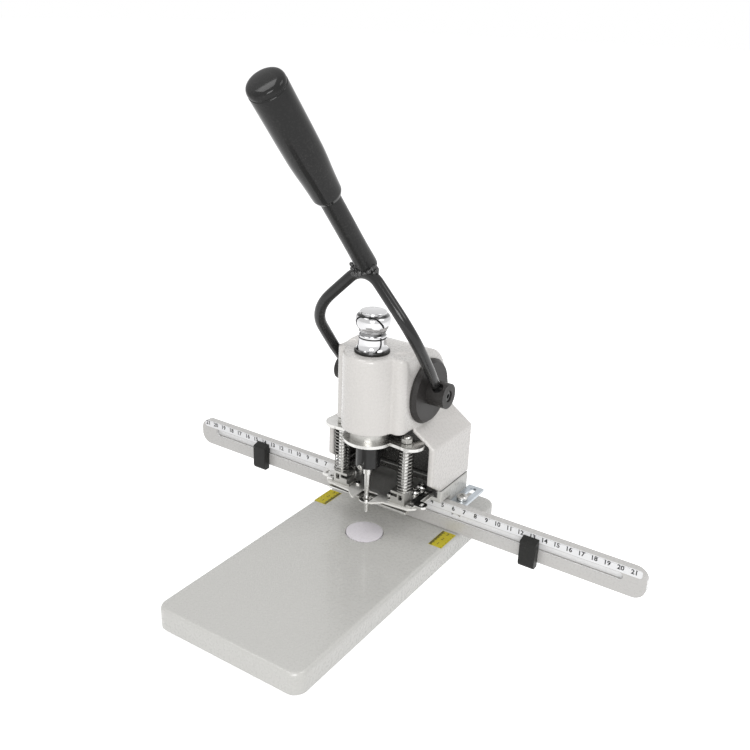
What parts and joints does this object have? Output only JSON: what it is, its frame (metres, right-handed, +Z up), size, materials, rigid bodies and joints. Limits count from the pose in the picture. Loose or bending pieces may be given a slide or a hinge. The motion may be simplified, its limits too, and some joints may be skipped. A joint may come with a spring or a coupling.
{
  "type": "hand paper drill",
  "caption": "Lever-operated paper drill: cast base and head, chuck with hollow bit, sprung lift plate, and a sliding ruled fence with side stops.",
  "frame": {"origin": "on the plane the feet stand on, under the middle of the base plate; the drill axis is 30.5 mm behind it", "axes": "+X to the right seen from the front, along the fence; +Y to the back; +Z up, along the drill axis"},
  "size_m": [0.436, 0.281, 0.3843],
  "materials": {
    "grey_paint": "satin",
    "fence_paint": "satin",
    "steel": "brushed",
    "zinc": "satin",
    "chrome": "polished",
    "black_steel": "gloss",
    "charcoal": "satin",
    "bearing_brass": "satin",
    "grip_black": "gloss",
    "stop_black": "matte",
    "pad_white": "matte",
    "strip_white": "satin",
    "scale_yellow": "satin",
    "rubber": "matte"
  },
  "bodies": {
    "frame": {"base_plate": "grey_paint", "rubber_feet": "rubber", "head_casting": "grey_paint", "head_bolts": "black_steel", "guide_rod_left": "chrome", "guide_rod_right": "chrome", "rod_nuts": "chrome", "return_spring_left": "steel", "return_spring_right": "steel", "spring_bracket_left": "zinc", "spring_bracket_right": "zinc", "stripper_plate": "steel", "bit_guide_plate": "steel", "guide_plate_screws": "chrome", "plate_screws": "chrome", "plate_arm_left": "zinc", "plate_arm_right": "zinc", "helix_nut": "bearing_brass", "knob_ring": "rubber", "knob_collar": "chrome", "shaft_bush_left": "bearing_brass", "shaft_bush_right": "bearing_brass", "clamp_posts": "zinc", "clamp_screws": "chrome", "depth_scale_left": "scale_yellow", "depth_scale_right": "scale_yellow"},
    "lever": {"pinion_shaft": "steel", "side_disc_left": "charcoal", "side_disc_right": "charcoal", "hub_left": "charcoal", "hub_right": "charcoal", "hub_screws": "black_steel", "lever_yoke": "black_steel", "lever_rod": "black_steel", "lever_grip": "grip_black"},
    "quill": {"quill": "steel", "quill_rack": "steel", "lift_plate": "steel", "lift_plate_screws": "chrome", "spindle_bearings": "bearing_brass"},
    "spindle": {"spindle": "steel", "drill_chuck": "black_steel", "chuck_screw": "chrome", "hollow_bit": "chrome"},
    "knob": {"adjusting_knob": "chrome"},
    "pad": {"cutting_pad": "pad_white"},
    "fence": {"fence_bar": "fence_paint", "scale_strip": "strip_white", "fence_bracket_left": "zinc", "fence_bracket_right": "zinc", "gauge_screws": "chrome"},
    "stop_left": {"side_stop_left": "stop_black"},
    "stop_right": {"side_stop_right": "stop_black"}
  },
  "joints": [
    {"name": "lever_pivot", "type": "hinge", "parent": "frame", "child": "lever", "pos_m": [0, 0.0626, 0.144], "axis": [1, 0, 0], "range_deg": [0, 70], "stiffness_Nm_per_rad": 0.7, "springref_deg": -85.94},
    {"name": "quill_slide", "type": "slide", "parent": "frame", "child": "quill", "axis": [0, 0, -1], "range_m": [0, 0.0184], "deforming": ["return_spring_left", "return_spring_right"]},
    {"name": "spindle_spin", "type": "hinge", "parent": "quill", "child": "spindle", "pos_m": [0, 0.0305, 0.1], "axis": [0, 0, -1], "range_deg": [0, 166]},
    {"name": "knob_turn", "type": "hinge", "parent": "frame", "child": "knob", "pos_m": [0, 0.0305, 0.19], "axis": [0, 0, 1], "range_deg": [-180, 180]},
    {"name": "pad_turn", "type": "hinge", "parent": "frame", "child": "pad", "pos_m": [0, 0.029, 0.016], "axis": [0, 0, 1], "continuous": true},
    {"name": "fence_slide", "type": "slide", "parent": "frame", "child": "fence", "axis": [0, 1, 0], "range_m": [-0.02, 0]},
    {"name": "stop_left_slide", "type": "slide", "parent": "fence", "child": "stop_left", "axis": [1, 0, 0], "range_m": [-0.05, 0.068]},
    {"name": "stop_right_slide", "type": "slide", "parent": "fence", "child": "stop_right", "axis": [1, 0, 0], "range_m": [-0.054, 0.062]}
  ],
  "couplings": [
    {"joint": "quill_slide", "follows": "lever_pivot", "m_per_rad": 0.015},
    {"joint": "spindle_spin", "follows": "lever_pivot", "ratio": 2.3562}
  ]
}
